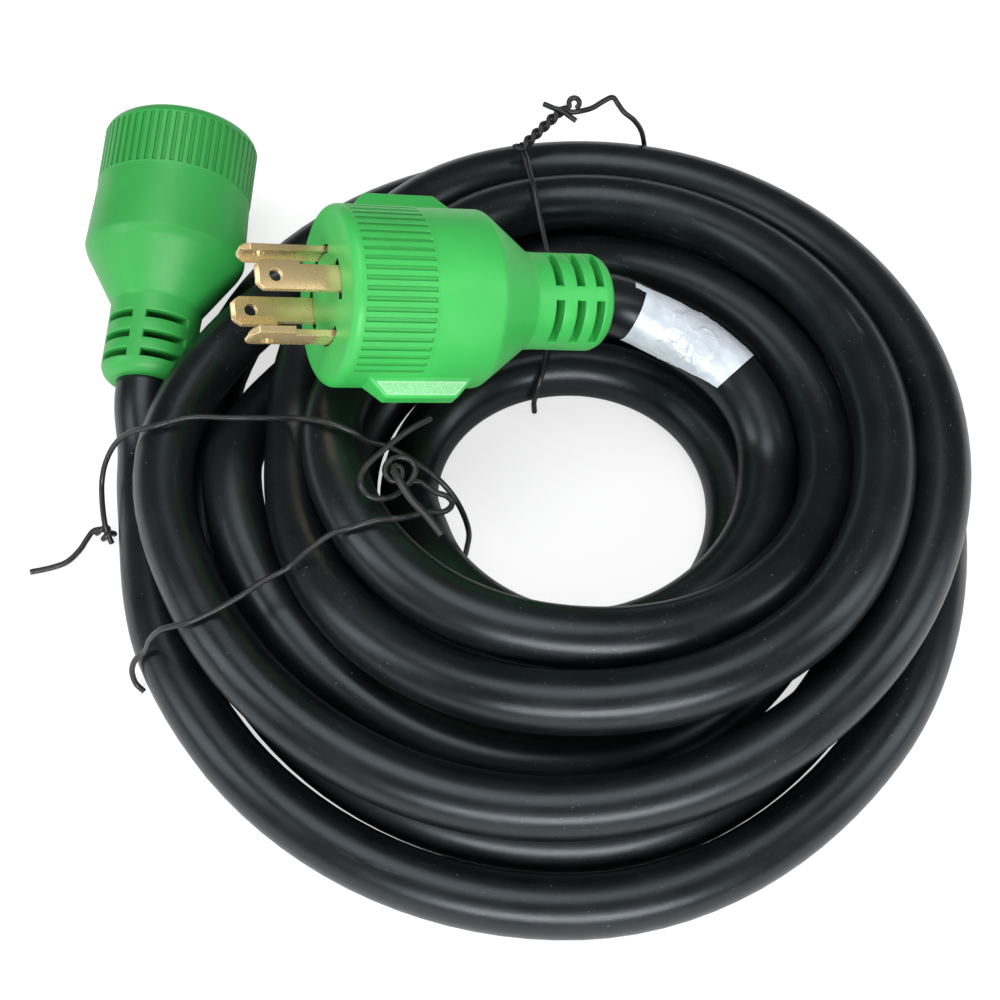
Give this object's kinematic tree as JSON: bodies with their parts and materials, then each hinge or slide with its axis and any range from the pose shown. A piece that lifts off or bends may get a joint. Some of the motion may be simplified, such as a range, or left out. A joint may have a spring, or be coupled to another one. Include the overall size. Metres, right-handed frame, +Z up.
{
  "type": "shore power cord",
  "caption": "Coiled heavy black cord for a caravan's shore power, with a green locking plug, a matching green locking connector, a blank wrap label and wire ties.",
  "frame": {"origin": "centre of the whole cord's bounding box, at the floor it lies on", "axes": "+Z up out of the floor, through the coil's hole; +Y towards the side where the connector's nose points; the plug's blades point to -X"},
  "size_m": [0.2966, 0.2816, 0.1056],
  "materials": {
    "cover_plug": "satin moulded green PVC",
    "cover_connector": "satin moulded green PVC",
    "inner_block": "matt dark moulding",
    "blade_brass": "bright pale brass",
    "contact_brass": "plain brass",
    "copper_ends": "bare copper strands",
    "wire_green": "smooth insulation",
    "wire_black": "smooth insulation",
    "wire_white": "smooth insulation",
    "wire_red": "smooth insulation",
    "jacket": "satin black PVC jacket with light scuffs",
    "label": "creased silver-white film, blank",
    "tie_wire": "black plastic coating over wire"
  },
  "bodies": {
    "root": {"plug_body": "cover_plug", "plug_core": "inner_block", "blade_ground": "blade_brass", "blade_line_x": "blade_brass", "blade_neutral": "blade_brass", "blade_line_y": "blade_brass", "plug_wire_green": "wire_green", "plug_wire_black": "wire_black", "plug_wire_white": "wire_white", "plug_wire_red": "wire_red", "plug_copper_ends": "copper_ends", "connector_body": "cover_connector", "connector_core": "inner_block", "contact_ground": "contact_brass", "contact_line_x": "contact_brass", "contact_neutral": "contact_brass", "contact_line_y": "contact_brass", "connector_wire_green": "wire_green", "connector_wire_black": "wire_black", "connector_wire_white": "wire_white", "connector_wire_red": "wire_red", "connector_copper_ends": "copper_ends", "cable_plug_lead": "jacket", "cable_coil": "jacket", "cable_connector_lead": "jacket", "cord_label": "label", "tie_back": "tie_wire", "tie_left_upper": "tie_wire", "tie_left_lower": "tie_wire"}
  },
  "joints": []
}
